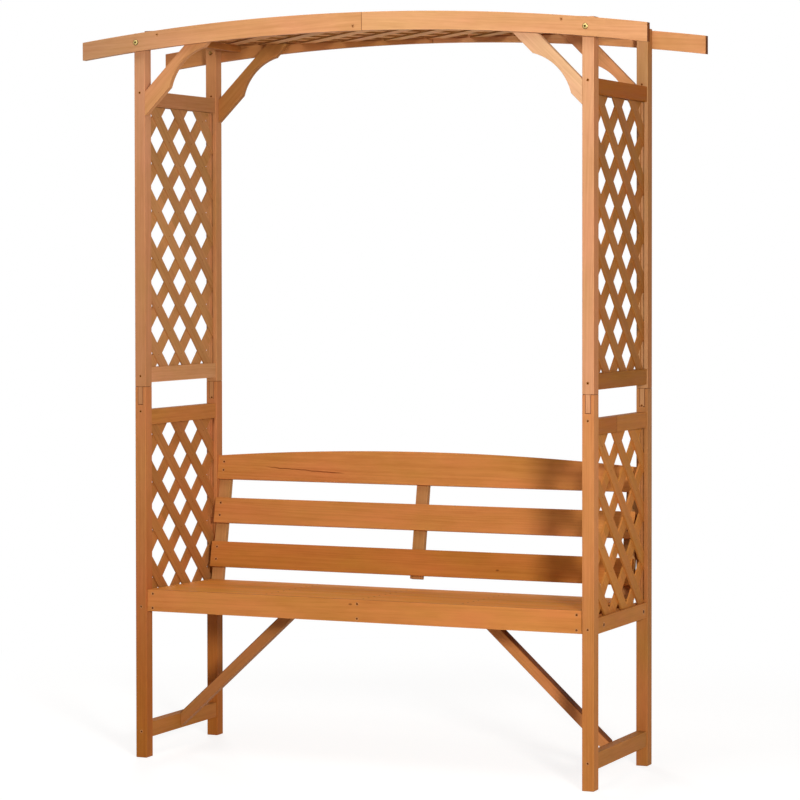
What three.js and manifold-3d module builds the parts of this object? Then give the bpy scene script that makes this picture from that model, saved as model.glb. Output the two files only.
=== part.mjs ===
// Timber arbour seat: two lattice side panels, an arched pair of roof beams with a flat roof
// lattice between them, a slatted seat and a leaning slatted back.
// Millimetres. X runs along the seat, Y from front to back, Z up. The origin lies on the ground
// under the middle of the frame.
import * as THREE from 'three';
import { mergeVertices } from 'three/addons/utils/BufferGeometryUtils.js';
import Module from 'manifold-3d';

// Whole frame
const frameWidth = 1326;
const frameDepth = 452;
const apexHeight = 2002;
const fit = 0.3;
const overrun = 4;

// Posts, in a lower and an upper length with a bridle joint between them; drops are below the apex
const postWidth = 32;
const postDepth = 36;
const postTopDrop = 32;
const postJoint = 1011;
const tongueWidth = 14;
const tongueLength = 48;

// Rails of the side panels: the height of each lower edge, or its drop below the apex
const railHeight = 41;
const railThickness = 28;
const footRungBottom = 53;
const sideSeatRailBottom = 398;
const lowerTopRailBottom = 907;
const upperBottomRailBottom = 1022;
const upperTopRailDrop = 228;

// Lattices: two layers of diagonal laths, pinned where they cross
const lathWidth = 34;
const lathThickness = 5;
const lathPress = 0.4;
const housing = 7;
const lowerDiamond = 131;
const upperDiamond = 130;
const roofDiamond = 130;
const lowerFirstCrossing = 33;
const upperFirstCrossing = 28;

// Arched roof beams, each in two halves with a half lap
const beamLength = 1624;
const beamRise = 54;
const beamHeight = 48;
const beamThickness = 20;
const lapLength = 50;
const beamSteps = 16;

// Roof
const roofLift = 11;
const roofEndGap = 4;
const battenWidth = 24;
const battenHeight = 18;
const battenInset = 49.5;

// Knee braces between posts and beams
const kneeAngle = Math.PI / 4;
const kneeWidth = 46;
const kneeThickness = 20;
const kneeFootDrop = 190;
const scoopChord = 148;
const scoopDepth = 20.5;
const scoopFromFoot = 42.5;
const turnedScoopFromHead = 54.5;
const scoopSteps = 14;

// Bolts that hold the beams to the posts
const boltDiameter = 6;
const boltHeadDiameter = 15;
const boltHeadHeight = 3;
const boltHeadRim = 1;
const boltSocketAcross = 5;
const boltSocketDepth = 2;
const boltSocketSides = 6;
const boltReach = 6;
const roundSteps = 20;
const domeSteps = 4;

// Seat, a slatted frame that slopes down a little to the back
const seatHeight = 459;
const seatRake = THREE.MathUtils.degToRad(1.2);
const apronSetback = 7;
const apronThickness = 16;
const apronHeight = 59;
const seatSlatCount = 5;
const seatSlatThickness = 20;
const seatSlatGap = 2;
const bearerThickness = 32;
const seatRailThickness = 20;

// Diagonal struts from the foot rungs to the seat's middle bearers
const strutAngle = THREE.MathUtils.degToRad(42.5);
const strutWidth = 29;
const strutThickness = 28;
const strutFootTop = 97;
const strutFrontY = -28;

// Back, leaning to the rear
const backLean = THREE.MathUtils.degToRad(10.76);
const backFootY = 146;
const backFootZ = 488;
const backSlatWidth = 72;
const backSlatGap = 53;
const backSlatThickness = 16;
const topSlatEndWidth = 67;
const topSlatRise = 25;
const topSlatSteps = 18;
const stileWidth = 34;
const stileThickness = 18;
const stileTopMargin = 16;
const centreStileDrop = 8;
const endStileFoot = 400;

// Places worked out from the sizes above
const halfWidth = frameWidth / 2;
const halfDepth = frameDepth / 2;
const innerX = halfWidth - postWidth;
const innerY = halfDepth - postDepth;
const postCentreX = halfWidth - postWidth / 2;
const postTop = apexHeight - postTopDrop;
const upperTopRailBottom = apexHeight - upperTopRailDrop;
const kneeFootTop = apexHeight - kneeFootDrop;
const railInner = postCentreX - railThickness / 2;
const latticeThickness = 2 * lathThickness - lathPress;
const latticeReach = housing - fit;
const beamRadius = (beamLength ** 2 / 4 + beamRise ** 2) / (2 * beamRise);
const beamCentreZ = apexHeight - beamRadius;
const roofUnderside = apexHeight - beamHeight + roofLift;
const roofHalfLength = innerX - roofEndGap;
const SIDES = [['left', -1], ['right', 1]];
const ENDS = [['front', -1], ['rear', 1]];

const wasm = await Module();
wasm.setup();

// Solid from a closed geometry, for joining and cutting
function solidOf(geometry) {
  const bare = geometry.index ? geometry.toNonIndexed() : geometry.clone();
  bare.deleteAttribute('normal');
  bare.deleteAttribute('uv');
  const merged = mergeVertices(bare);
  const vertProperties = new Float32Array(merged.attributes.position.array);
  const triVerts = new Uint32Array(merged.index.array);
  return new wasm.Manifold(new wasm.Mesh({ numProp: 3, vertProperties, triVerts }));
}

// Geometry from a solid
function geometryOf(solid) {
  const mesh = solid.getMesh();
  const geometry = new THREE.BufferGeometry();
  geometry.setAttribute('position', new THREE.BufferAttribute(mesh.vertProperties, mesh.numProp));
  geometry.setIndex(new THREE.BufferAttribute(mesh.triVerts, 1));
  const flat = geometry.toNonIndexed();
  flat.computeVertexNormals();
  return flat;
}

// Rectangular block between two values on each axis, given in either order
function block([x0, x1], [y0, y1], [z0, z1]) {
  const geometry = new THREE.BoxGeometry(Math.abs(x1 - x0), Math.abs(y1 - y0), Math.abs(z1 - z0));
  geometry.translate((x0 + x1) / 2, (y0 + y1) / 2, (z0 + z1) / 2);
  return geometry;
}

const blockSolid = (...spans) => solidOf(block(...spans));

// Board whose outline is drawn in X and Z, with its thickness along Y
function boardXZ(shape, [y0, y1], steps) {
  const geometry = new THREE.ExtrudeGeometry(shape, {
    depth: y1 - y0,
    bevelEnabled: false,
    curveSegments: steps,
  });
  const standUp = new THREE.Matrix4().makeBasis(
    new THREE.Vector3(1, 0, 0),
    new THREE.Vector3(0, 0, 1),
    new THREE.Vector3(0, -1, 0),
  );
  geometry.applyMatrix4(standUp);
  geometry.translate(0, y1, 0);
  return geometry;
}

// Board whose outline is drawn in Y and Z, with its thickness along X
function boardYZ(shape, [x0, x1]) {
  const geometry = new THREE.ExtrudeGeometry(shape, { depth: x1 - x0, bevelEnabled: false });
  const turn = new THREE.Matrix4().makeBasis(
    new THREE.Vector3(0, 1, 0),
    new THREE.Vector3(0, 0, 1),
    new THREE.Vector3(1, 0, 0),
  );
  geometry.applyMatrix4(turn);
  geometry.translate(x0, 0, 0);
  return geometry;
}

const outline = (points) => new THREE.Shape(points.map(([u, v]) => new THREE.Vector2(u, v)));

// Round bar along Y from its profile of radius and place along the axis
function turned(profile) {
  const points = profile.map(([radius, along]) => new THREE.Vector2(radius, along));
  return new THREE.LatheGeometry(points, roundSteps);
}

const COLOURS = {
  post: 0xc98c5e,
  rail: 0xb9804c,
  lattice: 0xa46a34,
  beam: 0xe0a06c,
  knee: 0xd89565,
  seat: 0xc67f45,
  back: 0xb8733a,
  strut: 0x97652a,
};

function timber(colour) {
  return new THREE.MeshStandardMaterial({ color: COLOURS[colour], roughness: 0.62, metalness: 0 });
}

function brass() {
  return new THREE.MeshStandardMaterial({ color: 0xc9a24a, roughness: 0.34, metalness: 0.9 });
}

function piece(name, shape, material, group) {
  const geometry = shape.isBufferGeometry ? shape : geometryOf(shape);
  const mesh = new THREE.Mesh(geometry, material);
  mesh.name = name;
  group.add(mesh);
  return mesh;
}

// Lattice panel in its own X and Y, with its thickness from zero up along Z.
// Each layer's laths lie on lines that are one diamond apart, and both layers share the crossing
// at the given height on the middle line. A lath is laid where it crosses one of the other layer.
function latticeSolid(width, height, diamond, crossing) {
  const reach = Math.ceil((width + height) / diamond);
  const lines = [];
  for (let i = -reach; i <= reach; i += 1) {
    lines.push(crossing + i * diamond);
  }
  const meet = (c, d) => Math.abs(d - c) <= width && Math.abs(d + c) <= height;
  const kept = lines.filter((c) => lines.some((d) => meet(c, d)));
  const lathLength = Math.SQRT2 * width + 2 * lathWidth;
  const laths = [];
  for (const [slope, base] of [[1, 0], [-1, lathThickness - lathPress]]) {
    for (const line of kept) {
      const lath = new THREE.BoxGeometry(lathLength, lathWidth, lathThickness);
      lath.rotateZ((slope * Math.PI) / 4);
      lath.translate(0, line, base + lathThickness / 2);
      laths.push(solidOf(lath));
    }
  }
  const all = laths.reduce((sum, lath) => sum.add(lath));
  const frame = blockSolid(
    [-width / 2, width / 2],
    [-height / 2, height / 2],
    [-overrun, latticeThickness + overrun],
  );
  return all.intersect(frame);
}

// Where a side lattice's faces lie along X, in the middle of its posts
function latticeFaces(side) {
  const middle = side * postCentreX;
  return [middle - latticeThickness / 2, middle + latticeThickness / 2];
}

// Groove round a side lattice, wider than the lattice by the fit on both faces
function grooveSpan(side) {
  const [low, high] = latticeFaces(side);
  return [low - fit, high + fit];
}

// The two side lattices' lower and upper edges, inside the grooves of their rails
const LATTICES = {
  lower: {
    low: sideSeatRailBottom + railHeight - latticeReach,
    high: lowerTopRailBottom + latticeReach,
    diamond: lowerDiamond,
    firstCrossing: lowerFirstCrossing,
  },
  upper: {
    low: upperBottomRailBottom + railHeight - latticeReach,
    high: upperTopRailBottom + latticeReach,
    diamond: upperDiamond,
    firstCrossing: upperFirstCrossing,
  },
};

// Groove down the inner face of a post, stopped at the ends of its lattice
function postGroove(side, end, lattice) {
  return blockSolid(
    grooveSpan(side),
    [end * (innerY - overrun), end * (innerY + housing)],
    [lattice.low - fit, lattice.high + fit],
  );
}

// Bore for a beam bolt through the beam and the post
const boltHeight = Math.sqrt(beamRadius ** 2 - postCentreX ** 2) + beamCentreZ - beamHeight / 2;

function boltBore(side, end) {
  const radius = boltDiameter / 2 + fit;
  const bore = new THREE.CylinderGeometry(radius, radius, frameDepth / 2, roundSteps);
  bore.translate(side * postCentreX, end * halfDepth, boltHeight);
  return solidOf(bore);
}

function postSpans(side, end) {
  return [[side * innerX, side * halfWidth], [end * innerY, end * halfDepth]];
}

// Lower post: a slot through its top takes the upper post's tongue
function lowerPost(side, end) {
  const [acrossX, acrossY] = postSpans(side, end);
  const body = blockSolid(acrossX, acrossY, [0, postJoint]);
  const slotHalf = tongueWidth / 2 + fit;
  const slot = blockSolid(
    [side * postCentreX - slotHalf, side * postCentreX + slotHalf],
    [end * (innerY - overrun), end * (halfDepth + overrun)],
    [postJoint - tongueLength - fit, postJoint + overrun],
  );
  return body.subtract(slot).subtract(postGroove(side, end, LATTICES.lower));
}

// Upper post: its shoulders stand on the lower post, and its tongue fills the slot
function upperPost(side, end) {
  const [acrossX, acrossY] = postSpans(side, end);
  const body = blockSolid(acrossX, acrossY, [postJoint + fit, postTop]);
  const tongue = blockSolid(
    [side * postCentreX - tongueWidth / 2, side * postCentreX + tongueWidth / 2],
    acrossY,
    [postJoint - tongueLength, postJoint + tongueLength],
  );
  const whole = body.add(tongue);
  return whole.subtract(postGroove(side, end, LATTICES.upper)).subtract(boltBore(side, end));
}

// Rail between the two posts of a side, in the middle of their thickness
function railSolid(side, bottom) {
  return blockSolid(
    [side * railInner, side * (railInner + railThickness)],
    [-innerY + fit, innerY - fit],
    [bottom, bottom + railHeight],
  );
}

// The same rail with a groove along the edge that faces a lattice: 1 for the top, -1 the bottom
function groovedRail(side, bottom, edge) {
  const face = edge > 0 ? bottom + railHeight : bottom;
  const groove = blockSolid(
    grooveSpan(side),
    [-halfDepth, halfDepth],
    [face + edge * overrun, face - edge * housing],
  );
  return railSolid(side, bottom).subtract(groove);
}

// Side lattice, stood up between its posts; its outer faces are the same way round on both sides
function sideLattice(side, { low, high, diamond, firstCrossing }) {
  const height = high - low;
  const crossing = height / 2 - latticeReach - firstCrossing;
  const panel = geometryOf(latticeSolid(2 * (innerY + latticeReach), height, diamond, crossing));
  const standUp = new THREE.Matrix4().makeBasis(
    new THREE.Vector3(0, 1, 0),
    new THREE.Vector3(0, 0, 1),
    new THREE.Vector3(1, 0, 0),
  );
  panel.applyMatrix4(standUp);
  panel.translate(latticeFaces(side)[0], 0, (low + high) / 2);
  return panel;
}

function sidePanel(word, side) {
  const panel = new THREE.Group();
  for (const [endWord, end] of ENDS) {
    piece(`lower_post_${endWord}_${word}`, lowerPost(side, end), timber('post'), panel);
    piece(`upper_post_${endWord}_${word}`, upperPost(side, end), timber('post'), panel);
  }
  piece(`foot_rung_${word}`, railSolid(side, footRungBottom), timber('rail'), panel);
  piece(`side_seat_rail_${word}`, groovedRail(side, sideSeatRailBottom, 1), timber('rail'), panel);
  piece(`lower_top_rail_${word}`, groovedRail(side, lowerTopRailBottom, -1), timber('rail'), panel);
  piece(`upper_bottom_rail_${word}`, groovedRail(side, upperBottomRailBottom, 1), timber('rail'), panel);
  piece(`upper_top_rail_${word}`, groovedRail(side, upperTopRailBottom, -1), timber('rail'), panel);
  piece(`lower_lattice_${word}`, sideLattice(side, LATTICES.lower), timber('lattice'), panel);
  piece(`upper_lattice_${word}`, sideLattice(side, LATTICES.upper), timber('lattice'), panel);
  return panel;
}

// Arched strip of the beam between two places along X, its edges on one centre
function beamOutline(x0, x1) {
  const shape = new THREE.Shape();
  const lowRadius = beamRadius - beamHeight;
  const angleAt = (x, radius) => Math.acos(x / radius);
  shape.absarc(0, beamCentreZ, beamRadius, angleAt(x0, beamRadius), angleAt(x1, beamRadius), true);
  shape.absarc(0, beamCentreZ, lowRadius, angleAt(x1, lowRadius), angleAt(x0, lowRadius), false);
  shape.closePath();
  return shape;
}

// Half of the front beam. The left half keeps the outer cheek of the half lap, the right half the
// inner cheek. A straight groove for the roof lattice crosses the arch and breaks out of its top.
function beamHalf(side) {
  const outer = -halfDepth - beamThickness;
  const inner = -halfDepth - fit;
  const middle = (outer + inner) / 2;
  const lapEnd = -side * (lapLength / 2 - fit / 2);
  const tip = (side * beamLength) / 2;
  const strip = solidOf(
    boardXZ(beamOutline(Math.min(tip, lapEnd), Math.max(tip, lapEnd)), [outer, inner], beamSteps),
  );
  const cheek = side < 0 ? [middle - fit / 2, 0] : [-frameDepth, middle + fit / 2];
  const lap = blockSolid(
    [side * (lapLength / 2 + fit / 2), -side * beamLength],
    cheek,
    [0, apexHeight + overrun],
  );
  const groove = blockSolid(
    [-roofHalfLength - fit, roofHalfLength + fit],
    [-halfDepth - housing, -halfDepth + overrun],
    [roofUnderside - fit, roofUnderside + latticeThickness + fit],
  );
  return strip.subtract(lap).subtract(groove).subtract(boltBore(side, -1));
}

// Knee brace of the front right corner: a board at an angle with a round scoop in its lower edge.
// The scoop lies near the foot, or near the head on a left brace, which is turned end for end.
function kneeBrace(turnedOver) {
  const along = new THREE.Vector2(-Math.cos(kneeAngle), Math.sin(kneeAngle));
  const across = new THREE.Vector2(Math.sin(kneeAngle), Math.cos(kneeAngle));
  const footX = innerX - fit;
  const headZ = roofUnderside - fit;
  const footDrop = kneeWidth / Math.cos(kneeAngle);
  const headShift = kneeWidth / Math.sin(kneeAngle);
  const foot = new THREE.Vector2(footX, kneeFootTop - footDrop);
  const headX = footX - (headZ - kneeFootTop) / Math.tan(kneeAngle);
  const radius = (scoopChord ** 2 / 4 + scoopDepth ** 2) / (2 * scoopDepth);
  const halfAngle = Math.asin(scoopChord / 2 / radius);
  const lowerEdge = (headZ - foot.y) / Math.sin(kneeAngle);
  const scoopStart = turnedOver ? lowerEdge - turnedScoopFromHead - scoopChord : scoopFromFoot;
  const chordMiddle = foot.clone().addScaledVector(along, scoopStart + scoopChord / 2);
  const centre = chordMiddle.clone().addScaledVector(across, scoopDepth - radius);
  const towards = Math.atan2(across.y, across.x);
  const shape = new THREE.Shape();
  shape.moveTo(footX, kneeFootTop);
  shape.lineTo(headX, headZ);
  shape.lineTo(headX - headShift, headZ);
  shape.absarc(centre.x, centre.y, radius, towards + halfAngle, towards - halfAngle, true);
  shape.lineTo(foot.x, foot.y);
  shape.closePath();
  const front = -halfDepth;
  return boardXZ(shape, [front, front + kneeThickness], scoopSteps);
}

// Beam bolt of the front, along Y, its low domed head outside the beam
function beamBolt() {
  const headSeat = -halfDepth - beamThickness - fit;
  const headRadius = boltHeadDiameter / 2;
  const domeHeight = boltHeadHeight - boltHeadRim;
  const shankEnd = boltReach - innerY;
  const profile = [[0, headSeat - boltHeadHeight]];
  for (let i = domeSteps - 1; i >= 0; i -= 1) {
    const angle = (i / domeSteps) * (Math.PI / 2);
    const dome = domeHeight * Math.sin(angle);
    profile.push([headRadius * Math.cos(angle), headSeat - boltHeadRim - dome]);
  }
  profile.push([headRadius, headSeat]);
  profile.push([boltDiameter / 2, headSeat]);
  profile.push([boltDiameter / 2, shankEnd]);
  profile.push([0, shankEnd]);
  const socketRadius = boltSocketAcross / 2 / Math.cos(Math.PI / boltSocketSides);
  const socket = new THREE.CylinderGeometry(
    socketRadius,
    socketRadius,
    2 * boltSocketDepth,
    boltSocketSides,
  );
  socket.translate(0, headSeat - boltHeadHeight, 0);
  return solidOf(turned(profile)).subtract(solidOf(socket));
}

// The front beam with its braces and bolts; the rear one is the same, turned about the upright axis
function beamSet(endWord, leftWord, rightWord) {
  const set = new THREE.Group();
  for (const [word, side] of [[leftWord, -1], [rightWord, 1]]) {
    piece(`beam_${endWord}_${word}`, beamHalf(side), timber('beam'), set);
    const brace = kneeBrace(word === 'left');
    const knee = piece(`knee_brace_${endWord}_${word}`, brace, timber('knee'), set);
    if (side < 0) {
      knee.rotation.z = Math.PI;
      knee.position.y = -2 * halfDepth + kneeThickness;
    }
    const bolt = piece(`beam_bolt_${endWord}_${word}`, beamBolt(), brass(), set);
    bolt.position.set(side * postCentreX, 0, boltHeight);
  }
  return set;
}

function roof() {
  const group = new THREE.Group();
  const depth = 2 * (halfDepth + latticeReach);
  const lattice = latticeSolid(depth, 2 * roofHalfLength, roofDiamond, 0);
  const panel = piece('roof_lattice', lattice, timber('lattice'), group);
  panel.rotation.z = Math.PI / 2;
  panel.position.z = roofUnderside;
  for (const [word, side] of SIDES) {
    const middle = side * (innerX - battenInset);
    const batten = block(
      [middle - battenWidth / 2, middle + battenWidth / 2],
      [-halfDepth + fit, halfDepth - fit],
      [roofUnderside - fit - battenHeight, roofUnderside - fit],
    );
    piece(`roof_batten_${word}`, batten, timber('knee'), group);
  }
  return group;
}

// Seat frame, in axes that start at its front top edge and slope down to the back
const seatFront = -halfDepth + apronSetback;
const seatHalfLength = innerX - fit;
const bearerTop = -seatSlatThickness - fit;
const bearerBottom = -apronHeight;

// How far behind the seat's front the back stiles' front faces lie, at a height in the seat's axes
function stileFaceBehind(z) {
  const turn = backLean - seatRake;
  const toFoot = new THREE.Vector2(seatFront - backFootY, seatHeight - backFootZ);
  const behind = toFoot.x * Math.cos(backLean) - toFoot.y * Math.sin(backLean);
  return (backSlatThickness + fit - behind + z * Math.sin(turn)) / Math.cos(turn);
}

// The struts' heads: their height under the seat's bearers and the middle of their seats along X
function strutHead() {
  const behind = (strutFrontY + strutThickness - seatFront) / Math.cos(seatRake);
  const height = seatHeight - behind * Math.sin(seatRake) + bearerBottom * Math.cos(seatRake) - fit;
  const upper = railInner - fit - (height - strutFootTop) / Math.tan(strutAngle);
  const lower = upper - strutWidth / Math.sin(strutAngle);
  return { height, upper, lower, middle: (upper + lower) / 2 };
}

function seat() {
  const group = new THREE.Group();
  group.position.set(0, seatFront, seatHeight);
  group.rotation.x = -seatRake;
  const along = [-seatHalfLength, seatHalfLength];
  const apron = block(along, [0, apronThickness], [-apronHeight, 0]);
  piece('seat_apron', apron, timber('seat'), group);

  const slatsFrom = apronThickness + fit;
  const slatsTo = stileFaceBehind(-seatSlatThickness) - fit;
  const slatPitch = (slatsTo - slatsFrom + seatSlatGap) / seatSlatCount;
  for (let i = 0; i < seatSlatCount; i += 1) {
    const from = slatsFrom + i * slatPitch;
    const slat = block(along, [from, from + slatPitch - seatSlatGap], [-seatSlatThickness, 0]);
    piece(`seat_slat_${i + 1}`, slat, timber('seat'), group);
  }

  const railBack = stileFaceBehind(bearerBottom) - fit;
  const railFront = railBack - seatRailThickness;
  const railHalf = seatHalfLength - bearerThickness - fit;
  const rearRail = block([-railHalf, railHalf], [railFront, railBack], [bearerBottom, bearerTop]);
  piece('seat_rear_rail', rearRail, timber('seat'), group);

  const bearerSpan = (x) => [x - bearerThickness / 2, x + bearerThickness / 2];
  const endBearer = outline([
    [slatsFrom, bearerBottom],
    [stileFaceBehind(bearerBottom) - fit, bearerBottom],
    [stileFaceBehind(bearerTop) - fit, bearerTop],
    [slatsFrom, bearerTop],
  ]);
  for (const [word, side] of SIDES) {
    const endX = side * (seatHalfLength - bearerThickness / 2);
    const end = boardYZ(endBearer, bearerSpan(endX));
    piece(`seat_bearer_end_${word}`, end, timber('seat'), group);
    const middle = block(
      bearerSpan(side * strutHead().middle),
      [slatsFrom, railFront - fit],
      [bearerBottom, bearerTop],
    );
    piece(`seat_bearer_middle_${word}`, middle, timber('seat'), group);
  }
  const centre = block(bearerSpan(0), [slatsFrom, railFront - fit], [bearerBottom, bearerTop]);
  piece('seat_bearer_centre', centre, timber('seat'), group);
  return group;
}

// Strut: its foot is cut upright against the rung and its head level under a bearer
function strut(side) {
  const footX = railInner - fit;
  const head = strutHead();
  const shape = outline([
    [side * footX, strutFootTop],
    [side * head.upper, head.height],
    [side * head.lower, head.height],
    [side * footX, strutFootTop - strutWidth / Math.cos(strutAngle)],
  ]);
  return boardXZ(shape, [strutFrontY, strutFrontY + strutThickness]);
}

function struts() {
  const group = new THREE.Group();
  for (const [word, side] of SIDES) {
    piece(`seat_strut_${word}`, strut(side), timber('strut'), group);
  }
  return group;
}

// Top slat of the back: a straight lower edge and a shallow arch above
function topSlat(bottom) {
  const half = seatHalfLength;
  const radius = (half ** 2 + topSlatRise ** 2) / (2 * topSlatRise);
  const peak = bottom + topSlatEndWidth + topSlatRise;
  const spread = Math.asin(half / radius);
  const shape = new THREE.Shape();
  shape.moveTo(-half, bottom);
  shape.lineTo(half, bottom);
  shape.absarc(0, peak - radius, radius, Math.PI / 2 - spread, Math.PI / 2 + spread, false);
  shape.closePath();
  return boardXZ(shape, [0, backSlatThickness], topSlatSteps);
}

// Back frame, in axes that start at the lowest slat's front lower edge and lean to the rear
function back() {
  const group = new THREE.Group();
  group.position.set(0, backFootY, backFootZ);
  group.rotation.x = -backLean;
  const pitch = backSlatWidth + backSlatGap;
  const along = [-seatHalfLength, seatHalfLength];
  for (const [i, word] of ['bottom', 'middle'].entries()) {
    const slat = block(along, [0, backSlatThickness], [i * pitch, i * pitch + backSlatWidth]);
    piece(`back_slat_${word}`, slat, timber('back'), group);
  }
  const topFoot = 2 * pitch;
  piece('back_slat_top', topSlat(topFoot), timber('back'), group);

  const behind = [backSlatThickness + fit, backSlatThickness + fit + stileThickness];
  const stileTop = topFoot + topSlatEndWidth - stileTopMargin;
  const foot = (endStileFoot - backFootZ) / Math.cos(backLean);
  for (const [word, side] of SIDES) {
    const outer = side * seatHalfLength;
    const stile = block([outer, outer - side * stileWidth], behind, [foot, stileTop]);
    piece(`back_stile_${word}`, stile, timber('back'), group);
  }
  const centre = block([-stileWidth / 2, stileWidth / 2], behind, [-centreStileDrop, stileTop]);
  piece('back_stile_centre', centre, timber('back'), group);
  return group;
}

const arbour = new THREE.Group();
for (const [word, side] of SIDES) {
  arbour.add(sidePanel(word, side));
}
const rearSet = beamSet('rear', 'right', 'left');
rearSet.rotation.z = Math.PI;
arbour.add(beamSet('front', 'left', 'right'), rearSet, roof(), seat(), struts(), back());

export default arbour;
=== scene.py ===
# %% [markdown]
# An arbour seat is a garden bench under a small lattice roof. Everything on it is a sawn board of
# stained softwood, so nearly all of its looks come from one good timber finish, laid along the
# length of each board, and from the small fasteners. The boards are in the frame already. This
# lesson loads them, gives each one its finish and softened arrises, and adds screws, nuts and pins.

# %% Load the boards
import math
import random

import bmesh
import bpy
from mathutils import Matrix, Vector


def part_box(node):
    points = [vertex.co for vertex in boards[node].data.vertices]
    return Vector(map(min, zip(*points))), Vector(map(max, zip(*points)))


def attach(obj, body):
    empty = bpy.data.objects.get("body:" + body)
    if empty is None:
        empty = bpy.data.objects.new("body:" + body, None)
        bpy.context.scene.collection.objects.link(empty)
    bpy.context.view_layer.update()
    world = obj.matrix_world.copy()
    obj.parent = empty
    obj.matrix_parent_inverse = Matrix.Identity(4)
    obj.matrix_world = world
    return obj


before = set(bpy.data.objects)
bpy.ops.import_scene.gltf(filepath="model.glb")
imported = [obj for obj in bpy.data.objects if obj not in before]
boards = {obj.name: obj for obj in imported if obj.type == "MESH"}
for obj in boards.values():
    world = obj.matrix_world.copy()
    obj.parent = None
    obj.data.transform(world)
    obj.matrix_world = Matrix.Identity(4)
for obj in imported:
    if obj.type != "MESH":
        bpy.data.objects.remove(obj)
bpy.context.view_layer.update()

MM = 0.001
SIDES = (("left", -1), ("right", 1))
ENDS = (("front", -1), ("rear", 1))
RIGHT, BACK, UP = (1, 0, 0), (0, 1, 0), (0, 0, 1)

# %% [markdown]
# The camera stands where the photographer stood: in front and to the right, at chest height, far
# away with a long lens. An upright subject keeps straight posts if the lens is shifted down instead
# of tilted. A large shift would push the seat out of frame from other sides, so about half of it is
# shift and the rest is a small tilt.

# %% Camera
LENS_MM, SENSOR_MM, LENS_SHIFT = 131.33, 36, -0.09
CAMERA_PLACE = (3.213, -7.187, 1.3349)
TILT_DOWN, ROLL, TURN = 1.192, 0.062, 23.919
FAR_CLIP = 100

lens_data = bpy.data.cameras.new("camera")
lens_data.lens = LENS_MM
lens_data.sensor_width = SENSOR_MM
lens_data.shift_y = LENS_SHIFT
lens_data.clip_end = FAR_CLIP
camera = bpy.data.objects.new("camera", lens_data)
camera.location = CAMERA_PLACE
camera.rotation_euler = tuple(math.radians(angle) for angle in (90 - TILT_DOWN, ROLL, TURN))
bpy.context.scene.collection.objects.link(camera)
bpy.context.scene.camera = camera
print("camera", [round(v, 2) for v in camera.location], "lens", round(lens_data.lens, 1))

# %% [markdown]
# Node trees are easier to read in code when each kind of step has a short helper. The first adds a
# node and fills its sockets, from numbers or from other nodes' outputs. The others add arithmetic,
# a soft step between two values, a stretched noise, and a blend of colours.

# %% Helpers for node trees
def add(tree, kind, sockets=(), **settings):
    node = tree.nodes.new(kind)
    for name, value in settings.items():
        setattr(node, name, value)
    for key, value in dict(sockets).items():
        if isinstance(value, bpy.types.NodeSocket):
            tree.links.new(value, node.inputs[key])
        else:
            node.inputs[key].default_value = value
    return node


def calc(tree, operation, *values, clamp=False):
    sockets = dict(enumerate(values))
    return add(tree, "ShaderNodeMath", sockets, operation=operation, use_clamp=clamp).outputs[0]


def weighed(tree, total, *shares):
    """Adds values to a total, each times its share."""
    for pattern, share in shares:
        total = calc(tree, "MULTIPLY_ADD", pattern, share, total)
    return total


def apart(tree, a, b):
    """How far two values are apart."""
    return calc(tree, "ABSOLUTE", calc(tree, "SUBTRACT", a, b))


def soft_step(tree, value, low, high, start=0.0, end=1.0):
    sockets = {"Value": value, "From Min": low, "From Max": high, "To Min": start, "To Max": end}
    node = add(tree, "ShaderNodeMapRange", sockets, interpolation_type="SMOOTHSTEP")
    return node.outputs["Result"]


def stretched(tree, where, scales):
    return add(tree, "ShaderNodeVectorMath", {0: where, 1: scales}, operation="MULTIPLY").outputs[0]


def noise(tree, where, scales, detail=2.0, roughness=0.5):
    sockets = {"Vector": stretched(tree, where, scales), "Detail": detail, "Roughness": roughness}
    return add(tree, "ShaderNodeTexNoise", {**sockets, "Scale": 1.0}).outputs["Fac"]


def blend_colour(tree, mode, factor, a, b):
    sockets = {0: factor, 6: a, 7: b}
    return add(tree, "ShaderNodeMix", sockets, data_type="RGBA", blend_type=mode).outputs[2]


def linear(red, green, blue):
    """A colour as it is seen on a screen, 0 to 255, turned into light."""
    shares = [value / 255 for value in (red, green, blue)]
    light = [s / 12.92 if s <= 0.04045 else ((s + 0.055) / 1.055) ** 2.4 for s in shares]
    return (*light, 1.0)


print("helpers for node trees ready")

# %% [markdown]
# Places need helpers too: the object's own coordinates, a vector taken apart and put together, its
# length, and how squarely a face looks along an axis. Most materials begin and end alike, so those
# steps have helpers of their own.

# %% Helpers for places and materials
def object_place(tree):
    return add(tree, "ShaderNodeTexCoord").outputs["Object"]


def split(tree, place):
    return add(tree, "ShaderNodeSeparateXYZ", {0: place}).outputs


def vector(tree, x, y, z):
    return add(tree, "ShaderNodeCombineXYZ", {"X": x, "Y": y, "Z": z}).outputs[0]


def length_of(tree, place):
    return add(tree, "ShaderNodeVectorMath", {0: place}, operation="LENGTH").outputs["Value"]


def facing(tree, axis):
    """1 on faces that look along the axis, either way, and 0 on those that run along it."""
    normal = add(tree, "ShaderNodeNewGeometry").outputs["True Normal"]
    turned = add(tree, "ShaderNodeVectorMath", {0: normal, 1: tuple(axis)}, operation="DOT_PRODUCT")
    return calc(tree, "ABSOLUTE", turned.outputs["Value"])


def blank_material(name):
    finish = bpy.data.materials.new(name)
    finish.use_nodes = True
    finish.node_tree.nodes.clear()
    return finish, finish.node_tree


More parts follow.
